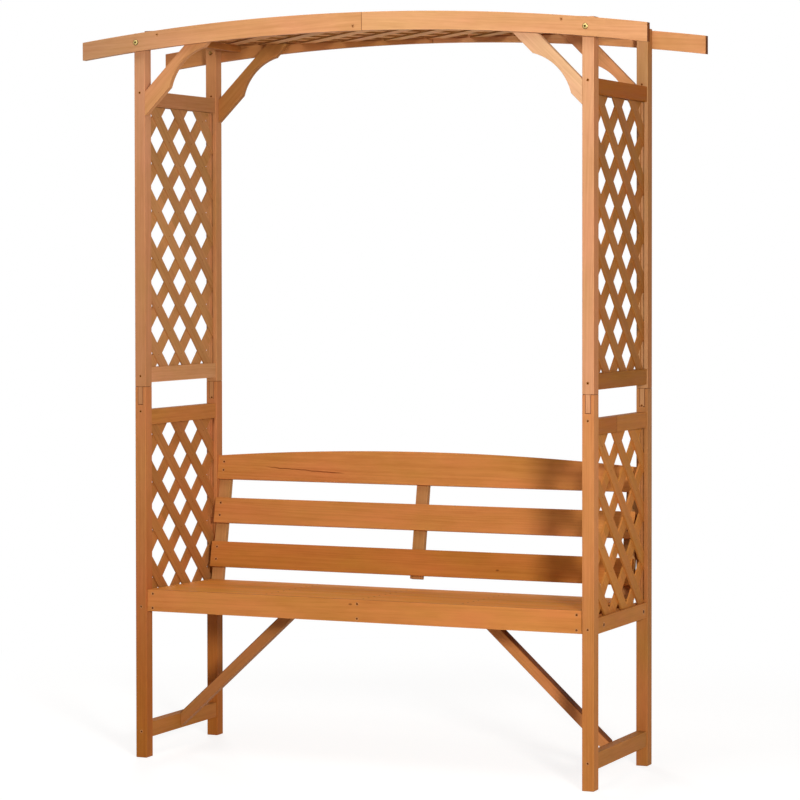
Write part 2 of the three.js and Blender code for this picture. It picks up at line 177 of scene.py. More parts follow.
def end_material(tree, colour, rough, height, strength, depth, **more):
    """Ends a material in one shader, with a relief that is strength times depth high."""
    relief = {"Height": height, "Strength": strength, "Distance": depth}
    bump = add(tree, "ShaderNodeBump", relief).outputs[0]
    surface = {"Base Color": colour, "Roughness": rough, "Normal": bump, **more}
    shader = add(tree, "ShaderNodeBsdfPrincipled", surface)
    add(tree, "ShaderNodeOutputMaterial", {"Surface": shader.outputs[0]})


def wear(node, finish):
    boards[node].data.materials.clear()
    boards[node].data.materials.append(finish)


print("helpers for places and materials ready")

# %% [markdown]
# A plain studio has a pale floor and even light from all round. The picture's background is pure
# white. It is not made by more light, but by what the camera and mirror-like rays see: for those
# rays the surroundings are white at strength 1, and the floor has a glow of its own, so that it
# stays white except where the seat's shadow falls on it.

# %% Floor and surroundings
EVEN_LIGHT, EVEN_STRENGTH = (1.0, 0.97, 0.94, 1), 0.2
WHITE, FLOOR_MATT, FLOOR_PALE = (1, 1, 1, 1), (0.36, 0.36, 0.36, 1), (0.8, 0.8, 0.8, 1)
FLOOR_GLOW, FLOOR_HALF, FLOOR_DROP = 0.8, 40, 0.5 * MM
SHADOW_ENDS, CLEAN_STARTS = 1.4, 2.6

scene = bpy.context.scene
scene.view_settings.view_transform = "Standard"


def seen_directly(tree):
    path = add(tree, "ShaderNodeLightPath")
    glossy = calc(tree, "MAXIMUM", path.outputs["Is Camera Ray"], path.outputs["Is Glossy Ray"])
    return calc(tree, "MAXIMUM", glossy, path.outputs["Is Transmission Ray"])


def mixed(tree, share, first, second):
    return add(tree, "ShaderNodeMixShader", {0: share, 1: first.outputs[0], 2: second.outputs[0]})


surroundings = bpy.data.worlds.new("surroundings")
scene.world = surroundings
surroundings.use_nodes = True
tree = surroundings.node_tree
tree.nodes.clear()
even = add(tree, "ShaderNodeBackground", {"Color": EVEN_LIGHT, "Strength": EVEN_STRENGTH})
white = add(tree, "ShaderNodeBackground", {"Color": WHITE, "Strength": 1.0})
seen = mixed(tree, seen_directly(tree), even, white)
add(tree, "ShaderNodeOutputWorld", {"Surface": seen.outputs[0]})

floor_mesh = bpy.data.meshes.new("floor")
floor_form = bmesh.new()
bmesh.ops.create_grid(floor_form, x_segments=1, y_segments=1, size=FLOOR_HALF)
floor_form.to_mesh(floor_mesh)
floor_form.free()
floor = bpy.data.objects.new("floor", floor_mesh)
floor.location = (0, 0, -FLOOR_DROP)
scene.collection.objects.link(floor)

floor_finish, tree = blank_material("pale_floor")
far = soft_step(tree, length_of(tree, object_place(tree)), SHADOW_ENDS, CLEAN_STARTS)
matt = add(tree, "ShaderNodeBsdfDiffuse", {"Color": FLOOR_MATT})
glow = add(tree, "ShaderNodeEmission", {"Color": WHITE, "Strength": FLOOR_GLOW})
near = add(tree, "ShaderNodeAddShader", {0: matt.outputs[0], 1: glow.outputs[0]})
clean = add(tree, "ShaderNodeEmission", {"Color": WHITE, "Strength": 1.0})
pale = add(tree, "ShaderNodeBsdfDiffuse", {"Color": FLOOR_PALE})
seen = mixed(tree, seen_directly(tree), pale, mixed(tree, far, near, clean))
add(tree, "ShaderNodeOutputMaterial", {"Surface": seen.outputs[0]})
floor_mesh.materials.append(floor_finish)
print("floor and white surroundings")

# %% [markdown]
# The light is a soft key lamp from the front right and a wide weak lamp from above. The key lamp
# stands low, because the front posts throw their shadows level across to the back's slats and on to
# the struts. A third lamp lights the seat from behind. It is kept out of glossy rays, or its white
# patch would lie on the seat.

# %% Lamps
LAMP_COLOUR = (1.0, 0.985, 0.96)


def soft_lamp(name, place, aim, size, power, glossy=True):
    lamp = bpy.data.lights.new(name, "AREA")
    lamp.shape = "DISK"
    lamp.size = size
    lamp.energy = power
    lamp.color = LAMP_COLOUR
    holder = bpy.data.objects.new(name, lamp)
    holder.visible_glossy = glossy
    holder.location = place
    holder.rotation_euler = (Vector(aim) - Vector(place)).to_track_quat("-Z", "Y").to_euler()
    scene.collection.objects.link(holder)
    print(name, power, "W at", place)


soft_lamp("key_lamp", (4.2, -5.4, 2.0), (0.2, 0, 1.1), 1.0, 330)
soft_lamp("top_lamp", (0, -1.6, 3.6), (0, 0, 1.2), 1.6, 26)
soft_lamp("rear_lamp", (-3.4, 5.0, 2.4), (0, 0, 1.0), 1.6, 130, glossy=False)

# %% [markdown]
# The timber is softwood under an orange-brown stain. Close up it has four things at different
# scales: growth rings, which draw long loops on a flat-sawn face and arcs on a sawn end, streaks of
# denser stain, fine fibres, and slow changes from board to board. It also has small knots, and
# finger joints where short lengths are glued into a long one. All of it follows the grain, so the
# recipe takes a place in the board's own axes: along, across and through, in metres.
# It is one node group, used by every board, so that a change to the recipe reaches all of them.

# %% The timber recipe's sockets
recipe = bpy.data.node_groups.new("stained_softwood", "ShaderNodeTree")
NUMBERS = {name: "Float" for name in ("Edge", "End", "Seed", "Joint", "Figure")}
RECIPE_SOCKETS = {
    "INPUT": {"Board": "Vector", "Pith": "Vector", "Tone": "Color", **NUMBERS},
    "OUTPUT": {"Color": "Color", "Roughness": "Float", "Height": "Float"},
}
for way, sockets in RECIPE_SOCKETS.items():
    for name, kind in sockets.items():
        recipe.interface.new_socket(name, in_out=way, socket_type=f"NodeSocket{kind}")
given = add(recipe, "NodeGroupInput").outputs
where = split(recipe, given["Board"])
pith = split(recipe, given["Pith"])
print("the recipe takes", list(RECIPE_SOCKETS["INPUT"]))

# %% [markdown]
# A finger joint is a zigzag of glue across the board, and the timber past it is another length with
# another seed. Growth rings are circles round the tree's pith, which lies outside most boards. The
# pith sways and leans a little along the board, so the rings come out as long loops. Each ring
# darkens slowly and ends sharply, as late wood does.

# %% Finger joints and growth rings
FINGER_WIDTH, FINGER_SLOPE = 4.5 * MM, 1.9
RING_WIDTH, RING_SWAY, RING_CHANGE = 5.6 * MM, 26 * MM, 2.6

fingers = calc(recipe, "PINGPONG", where["Y"], FINGER_WIDTH)
beyond = calc(recipe, "SUBTRACT", where["X"], given["Joint"])
beyond = calc(recipe, "ADD", beyond, calc(recipe, "MULTIPLY", fingers, FINGER_SLOPE))
second = calc(recipe, "GREATER_THAN", beyond, 0.0)
off_joint = calc(recipe, "ABSOLUTE", beyond)
glue_line = soft_step(recipe, off_joint, 0.3 * MM, 0.9 * MM, 1.0, 0.0)
length_seed = weighed(recipe, given["Seed"], (second, 5.31))

along = weighed(recipe, where["X"], (length_seed, 1.73))
across = weighed(recipe, where["Y"], (length_seed, 0.37))
grain = vector(recipe, along, across, where["Z"])

sway = noise(recipe, grain, (1.6, 4.0, 4.0))
sway_y = calc(recipe, "MULTIPLY", calc(recipe, "SUBTRACT", sway, 0.5), RING_SWAY)
lean = calc(recipe, "MULTIPLY", pith["Z"], where["X"])
ring_y = calc(recipe, "SUBTRACT", calc(recipe, "ADD", where["Y"], sway_y), pith["X"])
ring_y = calc(recipe, "SUBTRACT", ring_y, lean)
ring_z = calc(recipe, "SUBTRACT", where["Z"], pith["Y"])
radius = length_of(recipe, vector(recipe, 0.0, ring_y, ring_z))
years = noise(recipe, vector(recipe, 0.0, 0.0, radius), (1.0, 1.0, 55.0))
even_rings = calc(recipe, "DIVIDE", radius, RING_WIDTH)
ring_place = calc(recipe, "FRACT", weighed(recipe, even_rings, (years, RING_CHANGE)))
darkens = soft_step(recipe, ring_place, 0.25, 0.9)
stops = soft_step(recipe, ring_place, 0.9, 1.0, 1.0, 0.0)
rings = calc(recipe, "MULTIPLY", calc(recipe, "MULTIPLY", darkens, stops), given["Figure"])
print("growth rings", round(RING_WIDTH / MM, 1), "mm wide")

# %% [markdown]
# Streaks and fibres are one noise stretched by different amounts, and so are the slower patches.
# Knots come from scattered points: the distance to the nearest point, squeezed across the grain, is
# small only near it, and a random value for each point leaves most of them out. All of them are
# added up to one number, the depth of the stain.

# %% Streaks, fibres and knots
# The scales are repeats per metre along, across and through the board.
streaks = soft_step(recipe, noise(recipe, grain, (3.2, 110.0, 110.0), 4.0, 0.6), 0.3, 0.74)
fibres = noise(recipe, grain, (16.0, 620.0, 620.0))
broad = noise(recipe, grain, (1.5, 9.0, 9.0))
blotch = noise(recipe, grain, (5.0, 16.0, 16.0), 3.0)
mottle = noise(recipe, grain, (14.0, 42.0, 42.0), 3.0, 0.6)

KNOT_SCALES = (3.0, 9.0, 9.0)
KNOTS_LEFT_OUT = 0.55
knot_sockets = {"Vector": stretched(recipe, grain, KNOT_SCALES), "Scale": 1.0}
knot_points = add(recipe, "ShaderNodeTexVoronoi", knot_sockets).outputs
luck = add(recipe, "ShaderNodeSeparateColor", {0: knot_points["Color"]}).outputs[0]
near_knot = soft_step(recipe, knot_points["Distance"], 0.02, 0.085, 1.0, 0.0)
knot = calc(recipe, "MULTIPLY", near_knot, calc(recipe, "GREATER_THAN", luck, KNOTS_LEFT_OUT))

LEAST_STAIN = 0.12
stain = weighed(recipe, LEAST_STAIN, (rings, 0.18), (streaks, 0.28))
for pattern, share in ((fibres, 0.55), (broad, 1.0), (blotch, 0.8), (mottle, 0.5)):
    stain = weighed(recipe, stain, (calc(recipe, "SUBTRACT", pattern, 0.5), share))
stain = calc(recipe, "MULTIPLY_ADD", knot, 0.35, stain, clamp=True)
print("streaks, fibres, patches and knots in the recipe")

# %% [markdown]
# Colour is a blend from pale early wood to dense stain, multiplied by the board's tone. Knots and
# glue lines are darker. Sawn ends drink more stain, so they are darker too, and arrises are rubbed
# a little paler. The sheen and the relief follow the same patterns, because a fibre that looks
# darker also lies a little higher.

# %% Colour, sheen and relief
PALE_WOOD, DENSE_STAIN = (1.1, 1.12, 1.14, 1), (0.77, 0.66, 0.54, 1)
KNOT_SHADE, GLUE_SHADE = (0.42, 0.3, 0.22, 1), (0.5, 0.4, 0.3, 1)
END_SHADE, RUBBED_SHADE = (0.62, 0.52, 0.44, 1), (1.28, 1.26, 1.22, 1)
RUB_WIDTH = 2.4 * MM

depth = blend_colour(recipe, "MIX", stain, PALE_WOOD, DENSE_STAIN)
board_colour = blend_colour(recipe, "MULTIPLY", 1.0, given["Tone"], depth)
own = add(recipe, "ShaderNodeTexWhiteNoise", {"W": length_seed}, noise_dimensions="1D")
value = soft_step(recipe, own.outputs["Value"], 0.0, 1.0, 0.92, 1.08)
hue = weighed(recipe, 0.5, (calc(recipe, "SUBTRACT", blotch, 0.5), 0.03))
shifts = {"Hue": hue, "Value": value, "Color": board_colour}
toned = add(recipe, "ShaderNodeHueSaturation", shifts).outputs[0]
knotted = blend_colour(recipe, "MULTIPLY", knot, toned, KNOT_SHADE)
glue = calc(recipe, "MULTIPLY", glue_line, 0.6)
glued = blend_colour(recipe, "MULTIPLY", glue, knotted, GLUE_SHADE)
ends = blend_colour(recipe, "MULTIPLY", given["End"], glued, END_SHADE)
rub = calc(recipe, "SUBTRACT", noise(recipe, grain, (30.0, 60.0, 60.0)), 0.5)
edge_place = weighed(recipe, given["Edge"], (rub, RUB_WIDTH))
worn = soft_step(recipe, edge_place, 0.3 * MM, RUB_WIDTH, 0.3, 0.0)
finished = blend_colour(recipe, "MULTIPLY", worn, ends, RUBBED_SHADE)

sheen = weighed(recipe, 0.54, (fibres, 0.16), (streaks, -0.06), (worn, 0.2))
sheen = calc(recipe, "MULTIPLY_ADD", given["End"], 0.2, sheen, clamp=True)
height = weighed(recipe, 0.0, (rings, 0.4), (fibres, 0.5), (glue_line, -0.8), (knot, 0.5))
add(recipe, "NodeGroupOutput", {"Color": finished, "Roughness": sheen, "Height": height})
print("timber recipe has", len(recipe.nodes), "nodes")

# %% [markdown]
# Each board needs to know which way it was sawn. Its own axes come from two directions, along and
# across its wide face, and its middle and half sizes from its corners measured on those axes. A
# Mapping node turns the object's coordinates into the board's, and the nearest arris is found from
# the half sizes: on any face one of the two distances is nil, so their sum is the distance to the
# arris.

# %% Boards' own axes
def board_axes(node, along, wide):
    u = Vector(along).normalized()
    w = u.cross(Vector(wide)).normalized()
    axes = Matrix((u, w.cross(u), w))
    corners = [axes @ vertex.co for vertex in boards[node].data.vertices]
    low = Vector(min(c[i] for c in corners) for i in range(3))
    high = Vector(max(c[i] for c in corners) for i in range(3))
    return axes, (low + high) / 2, (high - low) / 2


def in_board(tree, axes, middle):
    turn = tuple(axes.to_euler("XYZ"))
    sockets = {"Vector": object_place(tree), "Location": -middle, "Rotation": turn}
    return add(tree, "ShaderNodeMapping", sockets).outputs[0]


def arris_of_box(tree, place, half):
    gaps = []
    for axis, size in (("Y", half[1]), ("Z", half[2])):
        gap = calc(tree, "SUBTRACT", size, calc(tree, "ABSOLUTE", place[axis]))
        gaps.append(calc(tree, "MAXIMUM", gap, 0.0))
    return calc(tree, "ADD", *gaps)


print("helpers for board axes ready")

# %% [markdown]
# A board's surface is satin: the stain fills the fibres, and very little of the surroundings is
# mirrored in it. Every board was cut from another place in the tree, so the pith's place and lean
# are drawn for each one, from a seed of its own that stays the same in each run.

# %% End a timber material
TIMBER_GLOSS = {"Specular IOR Level": 0.07}
RELIEF_STRENGTH, RELIEF_DEPTH = 0.45, 0.5 * MM
PITH_ASIDE, PITH_NEAR, PITH_RANGE, PITH_LEAN = 45 * MM, 18, 60, 0.03


def finish_timber(tree, inputs, chance):
    """Ends a timber material: the recipe, a satin surface and its fine relief."""
    aside = chance.uniform(-1, 1) * PITH_ASIDE
    below = -(PITH_NEAR + PITH_RANGE * chance.random()) * MM
    lean = chance.uniform(-PITH_LEAN, PITH_LEAN)
    sockets = {"Pith": (aside, below, lean), **inputs}
    timber = add(tree, "ShaderNodeGroup", sockets, node_tree=recipe).outputs
    looks = (timber["Color"], timber["Roughness"], timber["Height"])
    end_material(tree, *looks, RELIEF_STRENGTH, RELIEF_DEPTH, **TIMBER_GLOSS)


print("timber surface ready, relief", RELIEF_DEPTH / MM, "mm")

# %% [markdown]
# A post's two lengths meet in a bridle joint, whose tongue draws a rectangle under the line of the
# shoulders. A beam's halves are half lapped, so their line lies to one side of the middle on the
# outer face and to the other side on the inner one. The solids meet there almost without a gap, so
# thin dark lines in the material stand for the glue and the shadow.

# %% Lines of the joints
POST_X = 647 * MM
POST_JOINT, TONGUE_LENGTH, TONGUE_WIDTH = 1.011, 0.048, 0.014
LAP_HALF, BEAM_MIDDLE = 25 * MM, 236 * MM


def post_joint_lines(tree):
    """Dark lines where the post's two lengths meet: round the tongue and at its shoulders."""
    spot = split(tree, object_place(tree))
    off_x = apart(tree, calc(tree, "ABSOLUTE", spot["X"]), POST_X)
    off_x = calc(tree, "SUBTRACT", off_x, TONGUE_WIDTH / 2)
    off_z = apart(tree, spot["Z"], POST_JOINT - TONGUE_LENGTH / 2)
    off_z = calc(tree, "SUBTRACT", off_z, TONGUE_LENGTH / 2)
    outline = calc(tree, "ABSOLUTE", calc(tree, "MAXIMUM", off_x, off_z))
    on_tongue = calc(tree, "LESS_THAN", off_x, 0.0)
    shoulder = calc(tree, "ADD", apart(tree, spot["Z"], POST_JOINT), on_tongue)
    nearest = calc(tree, "MINIMUM", outline, shoulder)
    return soft_step(tree, nearest, 0.5 * MM, 1.4 * MM, 0.62, 0.0)


def lap_line(tree, node):
    """A dark line where a beam's two halves meet: past the middle outside, short of it inside."""
    spot = split(tree, object_place(tree))
    shift = LAP_HALF if "front" in node else -LAP_HALF
    outside = calc(tree, "GREATER_THAN", calc(tree, "ABSOLUTE", spot["Y"]), BEAM_MIDDLE)
    line_x = weighed(tree, -shift, (outside, 2 * shift))
    return soft_step(tree, apart(tree, spot["X"], line_x), 0.5 * MM, 1.3 * MM, 0.8, 0.0)


print("post joint at", POST_JOINT, "m, half lap", round(2 * LAP_HALF / MM), "mm long")

# %% [markdown]
# A few knots show in the photograph, and a crack along the back's top slat: a thin dark line that
# wanders a little between two places. It could be cut into the mesh, but a line half a millimetre
# wide looks the same as colour.

# %% Knots and the crack
KNOTS = {"seat_slat_2": [(-71, 4)], "seat_apron": [(-22, 17)], "back_slat_bottom": [(247, -12)]}
CRACKS = {"back_slat_top": (-490 * MM, -225 * MM, -7.4 * MM, -0.053)}
KNOT_STRETCH, CRACK_WANDER = 0.5, 6 * MM


def knot_mark(tree, place, x, y):
    off_x = calc(tree, "MULTIPLY", calc(tree, "SUBTRACT", place["X"], x), KNOT_STRETCH)
    off_y = calc(tree, "SUBTRACT", place["Y"], y)
    gap = length_of(tree, vector(tree, off_x, off_y, 0.0))
    return soft_step(tree, gap, 1.2 * MM, 3.6 * MM, 0.75, 0.0)


def crack_mark(tree, board, place, start, stop, height, slope):
    run = calc(tree, "SUBTRACT", place["X"], start)
    line = calc(tree, "SUBTRACT", place["Y"], weighed(tree, height, (run, slope)))
    wander = calc(tree, "SUBTRACT", noise(tree, board, (22.0, 5.0, 5.0)), 0.5)
    line = weighed(tree, line, (wander, CRACK_WANDER))
    thin = soft_step(tree, calc(tree, "ABSOLUTE", line), 0.6 * MM, 1.9 * MM, 0.9, 0.0)
    opens = soft_step(tree, place["X"], start, start + 50 * MM)
    closes = soft_step(tree, place["X"], stop - 40 * MM, stop, 1.0, 0.0)
    return calc(tree, "MULTIPLY", thin, calc(tree, "MULTIPLY", opens, closes))


def marks_on(tree, node, board, place, middle):
    """Where the photograph shows a knot, a crack or a joint's line in this board."""
    marks = []
    for x, y in KNOTS.get(node, ()):
        marks.append(knot_mark(tree, place, x * MM - middle[0], y * MM))
    if node in CRACKS:
        marks.append(crack_mark(tree, board, place, *CRACKS[node]))
    if "post" in node:
        marks.append(post_joint_lines(tree))
    if node.startswith("beam_"):
        marks.append(lap_line(tree, node))
    return marks


print("knots in", len(KNOTS), "boards, a crack in", list(CRACKS))

# %% [markdown]
# Tones are the stain's colour on each kind of board. Boards of one kind come from one batch, so
# they share a tone, and the recipe varies it a little from board to board. Some boards in the
# photograph stand out, and have a tone of their own. Several of these are painted light and shade:
# the left and rear posts, the right side's upper rails, and the rear left beam and its knee brace
# are darker, where less light falls. The seat's slats and the roof's lattice are paler, for the
# light that falls on them.

# %% Tones
TONES = {
    "upper_post": (209, 150, 106),
    "lower_post": (199, 132, 80),
    # painted shade: the left and rear posts are darker, where less light falls
    "upper_post_front_left": (190, 131, 88),
    "upper_post_rear_left": (182, 126, 80),
    "upper_post_rear_right": (180, 131, 88),
    "lower_post_front_left": (186, 119, 71),
    "lower_post_rear_left": (184, 118, 70),
    "lower_post_rear_right": (175, 119, 69),
    "foot_rung_left": (171, 109, 51),
    "rail": (181, 117, 58),
    "upper_top_rail_left": (182, 126, 82),
    # painted shade: the right side's upper rails face away from the light
    "upper_top_rail_right": (147, 80, 12),
    "upper_bottom_rail_right": (158, 98, 34),
    "lower_top_rail_right": (183, 115, 54),
    "upper_bottom_rail_left": (207, 148, 102),
    "lattice": (175, 115, 62),
    "upper_lattice_left": (178, 126, 77),
    "upper_lattice_right": (158, 101, 49),
    "lower_lattice_right": (185, 119, 57),
    # painted light: the roof's lattice is paler, for the light from below
    "roof_lattice": (228, 168, 108),
    "beam_front_left": (211, 153, 105),
    "beam_front_right": (202, 148, 102),
    # painted shade: the rear left beam lies in the roof's shade
    "beam_rear_left": (181, 120, 71),
    "beam_rear_right": (210, 148, 98),
    "brace": (214, 150, 102),
    "knee_brace_front_right": (206, 161, 122),
    # painted shade: the rear left brace lies in the roof's shade
    "knee_brace_rear_left": (172, 115, 62),
    "seat": (194, 124, 64),
    # painted light: the seat's slats are paler, for the light on the seat's top
    "seat_slat": (225, 148, 66),
    "back": (201, 131, 70),
    "back_slat_bottom": (188, 119, 55),
    "stile": (173, 122, 72),
    "seat_strut_left": (172, 113, 63),
    "seat_strut_right": (189, 123, 71),
}


def tone_of(node, kind):
    return TONES[node] if node in TONES else TONES[kind]


print(len(TONES), "tones")

# %% [markdown]
# Some boards change along their length or from face to face. The posts darken towards the ground.
# The front ones grow paler towards the top, and the front beam's left half darker towards its end:
# painted light and shade, paler where more of the key lamp's light falls and darker where less
# does. The struts' upper edges are darker with painted shade under the seat. The beams' sawn ends
# are darker partly from more stain and partly from painted shade. The side faces of two posts are
# darker with painted shade, as they turn from the key lamp. A finger joint can also join two
# lengths of different colour.

# %% Second tones
FEET = {"left": (166, 96, 40), "right": (178, 112, 57)}
PAINTED_LIGHT_ALONG = {
    "upper_post_front_right": (215, 159, 116),
    "upper_post_front_left": (201, 144, 106),
    "beam_front_left": (188, 138, 100),
}
PAINTED_SHADE_SIDES = {
    "upper_post_front_right": (192, 128, 80),
    "upper_post_rear_right": (162, 106, 58),
}
BEAM_ENDS_STAIN_AND_SHADE = (141, 88, 48)
PAINTED_SHADE_UPPER_EDGES = {"seat_strut_left": (118, 68, 30), "seat_strut_right": (112, 60, 22)}
FINGER_JOINTS = {"lower_top_rail_right": -0.045, "seat_slat_4": -0.27, "lower_post_rear_left": 0.12}
FIRST_LENGTHS = {"lower_top_rail_right": (159, 94, 38)}


def toned_board(tree, node, kind, place, half):
    """The board's stain, with a second tone mixed in where this board asks for it, some of it
    painted light and shade.
    """
    changes = []
    if node.startswith("lower_post"):
        foot = FEET["left" if node.endswith("left") else "right"]
        changes.append((soft_step(tree, place["X"], -0.45, 0.4, 1.0, 0.0), foot))
    # Painted light and shade along the board: paler where more light falls, darker where less does.
    if node in PAINTED_LIGHT_ALONG:
        changes.append((soft_step(tree, place["X"], -0.1, 0.45), PAINTED_LIGHT_ALONG[node]))
    # Painted shade on the posts' side faces; on the beams' sawn ends, more stain and painted shade.
    side_face = BEAM_ENDS_STAIN_AND_SHADE if node.startswith("beam_") else PAINTED_SHADE_SIDES.get(node)
    if side_face:
        changes.append((soft_step(tree, facing(tree, RIGHT), 0.7, 0.95), side_face))
    # Painted shade under the seat, on the struts' upper edges.
    if node in PAINTED_SHADE_UPPER_EDGES:
        top = half[1]
        edge = soft_step(tree, place["Y"], top - 3.5 * MM, top - 0.6 * MM)
        changes.append((edge, PAINTED_SHADE_UPPER_EDGES[node]))
    if node in FIRST_LENGTHS:
        first = calc(tree, "LESS_THAN", place["X"], FINGER_JOINTS[node])
        changes.append((first, FIRST_LENGTHS[node]))
    colour = linear(*tone_of(node, kind))
    for share, second_tone in changes:
        colour = blend_colour(tree, "MIX", share, colour, linear(*second_tone))
    return colour


print("second tones on", sorted({*PAINTED_LIGHT_ALONG, *PAINTED_SHADE_SIDES, *PAINTED_SHADE_UPPER_EDGES}))

# %% [markdown]
# One function dresses a board: it finds the board's axes, mixes its tone with its marks, and ends
# the material. The arched beams are sawn from straight boards, so their grain runs straight along
# each half and the arch cuts across it. Only their arrises follow the arch, so the distance to an
# arris is measured from the arch's centre.

# %% Dress one board
MARK_SHADE = (0.3, 0.2, 0.14, 1)
FAR_AWAY = 9.0


def arris_of_arch(tree, place, half, centre_z, middle_radius, half_height):
    spot = split(tree, object_place(tree))
    rise = calc(tree, "SUBTRACT", spot["Z"], centre_z)
    reach = length_of(tree, vector(tree, spot["X"], 0.0, rise))
    curved = {"Y": calc(tree, "SUBTRACT", reach, middle_radius), "Z": place["Z"]}
    return arris_of_box(tree, curved, (0, half_height, half[2]))


def dress_board(node, along, wide, kind, figure=0.8, arch=None):
    """Gives one board its finish; figure is how strongly the growth rings show."""
    chance = random.Random(sum(ord(letter) * (i + 3) for i, letter in enumerate(node)))
    axes, middle, half = board_axes(node, along, wide)
    finish, tree = blank_material(f"timber_{node}")
    board = in_board(tree, axes, middle)
    place = split(tree, board)
    colour = toned_board(tree, node, kind, place, half)
    for mark in marks_on(tree, node, board, place, middle):
        colour = blend_colour(tree, "MULTIPLY", mark, colour, MARK_SHADE)
    edge = arris_of_arch(tree, place, half, *arch) if arch else arris_of_box(tree, place, half)
    inputs = {
        "Board": board,
        "Edge": edge,
        "End": soft_step(tree, facing(tree, axes[0]), 0.8, 0.95),
        "Seed": round(chance.uniform(1, 40), 2),
        "Joint": FINGER_JOINTS.get(node, FAR_AWAY),
        "Figure": figure,
        "Tone": colour,
    }
    finish_timber(tree, inputs, chance)
    wear(node, finish)


print("board material helper ready")

# %% [markdown]
# Each board gets its finish with two directions: one along its grain and one across its wide face.
# Posts stand, rails run from front to back, and the braces and struts lean.

# %% Dress the posts, rails, braces and struts
RAILS = ("foot_rung", "side_seat_rail", "lower_top_rail", "upper_bottom_rail", "upper_top_rail")
STRUT_LEAN = math.radians(42.5)

for end_word, _ in ENDS:
    for side_word, side in SIDES:
        corner = f"{end_word}_{side_word}"
        for length in ("upper_post", "lower_post"):
            dress_board(f"{length}_{corner}", UP, BACK, length)
        dress_board(f"knee_brace_{corner}", (-side, 0, 1), (side, 0, 1), "brace")
for side_word, side in SIDES:
    for rail in RAILS:
        dress_board(f"{rail}_{side_word}", BACK, UP, "rail")
    dress_board(f"roof_batten_{side_word}", BACK, RIGHT, "rail")
    run = (-side * math.cos(STRUT_LEAN), 0, math.sin(STRUT_LEAN))
    rise = (side * math.sin(STRUT_LEAN), 0, math.cos(STRUT_LEAN))
    dress_board(f"seat_strut_{side_word}", run, rise, "strut")
print("posts, rails, braces and struts dressed")

# %% [markdown]
# The roof beams are arched, and each is made of two halves. A half's grain runs along its chord,
# from the apex down to the beam's end. The arch's radius follows from its length and its rise.

# %% Dress the beams
BEAM_LENGTH, BEAM_RISE, BEAM_HEIGHT, APEX = 1.624, 0.054, 0.048, 2.002
beam_radius = (BEAM_LENGTH**2 / 4 + BEAM_RISE**2) / (2 * BEAM_RISE)
arch = (APEX - beam_radius, beam_radius - BEAM_HEIGHT / 2, BEAM_HEIGHT / 2)
for end_word, _ in ENDS:
    for side_word, side in SIDES:
        chord = (side * BEAM_LENGTH / 2, 0, -BEAM_RISE)
        rise = (side * BEAM_RISE, 0, BEAM_LENGTH / 2)
        dress_board(f"beam_{end_word}_{side_word}", chord, rise, "beam", 0.7, arch)
print("beams dressed, arch radius", round(beam_radius, 3))

# %% [markdown]
# The seat falls a little towards the back, so that a sitter rests against it, and the back leans.
# Their boards take the same two angles. The back's slats are wide and flat sawn, so the growth
# rings show more strongly on them.

# %% Dress the seat and the back
SEAT_RAKE = math.radians(1.2)
BACK_LEAN = math.radians(10.76)
SEAT_SLATS = range(1, 6)
BEARERS = ("end_left", "middle_left", "centre", "middle_right", "end_right")

seat_back = (0, math.cos(SEAT_RAKE), -math.sin(SEAT_RAKE))
seat_up = (0, math.sin(SEAT_RAKE), math.cos(SEAT_RAKE))
back_up = (0, math.sin(BACK_LEAN), math.cos(BACK_LEAN))
dress_board("seat_apron", RIGHT, seat_up, "seat")
dress_board("seat_rear_rail", RIGHT, seat_up, "rail")
for number in SEAT_SLATS:
    dress_board(f"seat_slat_{number}", RIGHT, seat_back, "seat_slat")
for word in BEARERS:
    dress_board(f"seat_bearer_{word}", seat_back, seat_up, "rail")
for slat in ("back_slat_bottom", "back_slat_middle", "back_slat_top"):
    dress_board(slat, RIGHT, back_up, "back", 1.0)
for word in ("left", "centre", "right"):
    dress_board(f"back_stile_{word}", back_up, RIGHT, "stile")
print("seat and back dressed, back leans", round(math.degrees(BACK_LEAN), 1), "degrees")

# %% [markdown]
# A lattice panel is one solid of two layers, so its grain can't be laid with one direction. The
# shader finds the layer from the depth in the panel, and the lath from the distance across the
# diagonal, counted in whole pitches. Each lath then gets its own middle line and its own seed. The
# roof's laths have their narrow sides darkened with painted shade, which shows from below as dark
# dashes.

# %% Dress one lattice
LATH_WIDTH, LATH_THICKNESS, LATH_PRESS = 0.034, 0.005, 0.0004
PANEL_DEPTH = 2 * LATH_THICKNESS - LATH_PRESS
LATTICE_FIGURE = 0.9


def across_laths(tree, place, upper):
    """Places along and across the laths: the two layers run along opposite diagonals."""
    total = calc(tree, "MULTIPLY", calc(tree, "ADD", place["X"], place["Y"]), math.sqrt(0.5))
    gap = calc(tree, "MULTIPLY", calc(tree, "SUBTRACT", place["Y"], place["X"]), math.sqrt(0.5))
    along = add(tree, "ShaderNodeMix", {0: upper, 2: total, 3: gap}).outputs[0]
    across = add(tree, "ShaderNodeMix", {0: upper, 2: gap, 3: total}).outputs[0]
    return along, across


